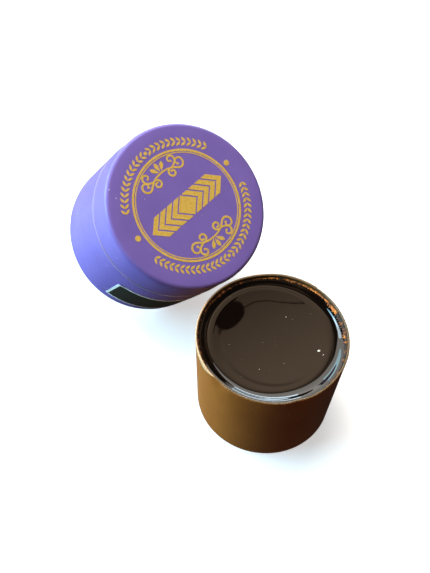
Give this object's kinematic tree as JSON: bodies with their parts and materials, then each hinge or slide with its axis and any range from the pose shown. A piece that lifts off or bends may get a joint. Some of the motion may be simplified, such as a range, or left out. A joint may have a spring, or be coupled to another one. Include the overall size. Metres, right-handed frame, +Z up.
{
  "type": "rosin cake",
  "caption": "Round cake of dark rosin cast in a thin tapered card cup, with its round pull-off-lid plastic container leaning beside it.",
  "frame": {"origin": "centre of the cup's flat underside, where the cup stands", "axes": "+Z up along the cup's axis; the container stands at -X and leans towards +X"},
  "size_m": [0.0975, 0.0473, 0.0547],
  "materials": {
    "rosin": "poured, glossy, dark brown resin",
    "foil_card": "satin gold-brown laminate",
    "purple_plastic": "satin moulded",
    "label_paper": "uncoated",
    "gold_print": "hot-foil print"
  },
  "bodies": {
    "cup": {"cup_wall": "foil_card", "cup_base": "foil_card", "rosin_cake": "rosin"},
    "container": {"tub": "purple_plastic", "tub_label": "label_paper"},
    "container_lid": {"lid": "purple_plastic", "lid_print": "gold_print"}
  },
  "joints": [
    {"name": "container_lift", "type": "slide", "parent": "cup", "child": "container", "axis": [0, 0, 1], "range_m": [0, 0.045]},
    {"name": "lid_pull", "type": "slide", "parent": "container", "child": "container_lid", "axis": [0.5188, 0, 0.8549], "range_m": [0, 0.02]}
  ]
}
